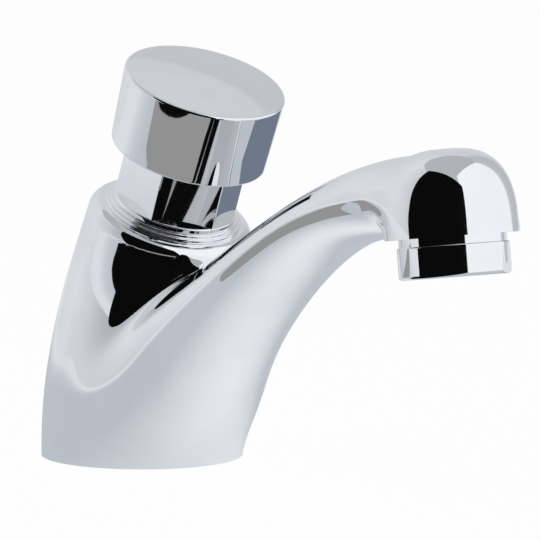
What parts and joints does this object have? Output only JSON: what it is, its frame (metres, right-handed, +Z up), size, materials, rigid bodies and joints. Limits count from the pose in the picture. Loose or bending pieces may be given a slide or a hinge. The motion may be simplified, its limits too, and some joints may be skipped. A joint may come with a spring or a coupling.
{
  "type": "push timed tap",
  "caption": "Deck-mounted timed tap: a leaning column with a push button on a hexagonal neck, and a cast spout with an aerator.",
  "frame": {"origin": "centre of the inlet thread's mouth, in the plane of the base on the deck", "axes": "+Z up from the deck, +X towards the outlet, +Y to the tap's left seen from behind"},
  "size_m": [0.1632, 0.0496, 0.1],
  "materials": {
    "chrome": "polished",
    "brass": "machined",
    "rubber": "matt",
    "plastic": "moulded",
    "steel": "drawn"
  },
  "bodies": {
    "tap": {"tap_body": "chrome", "bonnet_nut": "chrome", "collar_ring": "chrome", "bonnet_o_ring": "rubber", "stem_bush": "plastic", "stem_o_ring": "rubber", "cartridge_sleeve": "brass", "sleeve_o_ring": "rubber", "return_spring": "steel", "valve_seat": "brass", "inlet_strainer": "steel", "base_gasket": "rubber", "aerator_housing": "chrome", "aerator_insert": "plastic", "aerator_screen": "steel", "aerator_washer": "rubber"},
    "spring_follower": {"thrust_washer": "steel"},
    "button": {"push_cap": "chrome", "push_stem": "steel", "stem_lock_nut": "brass", "piston": "brass", "piston_cup_seal": "rubber", "timing_pin": "steel", "stem_clip": "steel", "valve_washer": "rubber", "washer_holder": "brass", "holder_screw": "brass"}
  },
  "joints": [
    {"name": "button_push", "type": "slide", "parent": "tap", "child": "spring_follower", "axis": [-0.4019, 0, -0.9157], "range_m": [0, 0.008], "stiffness_N_per_m": 1800, "springref_m": -0.008, "deforming": ["return_spring"]},
    {"name": "button_turn", "type": "hinge", "parent": "spring_follower", "child": "button", "pos_m": [0.0142, 0, 0.0603], "axis": [0.4019, 0, 0.9157], "continuous": true}
  ]
}
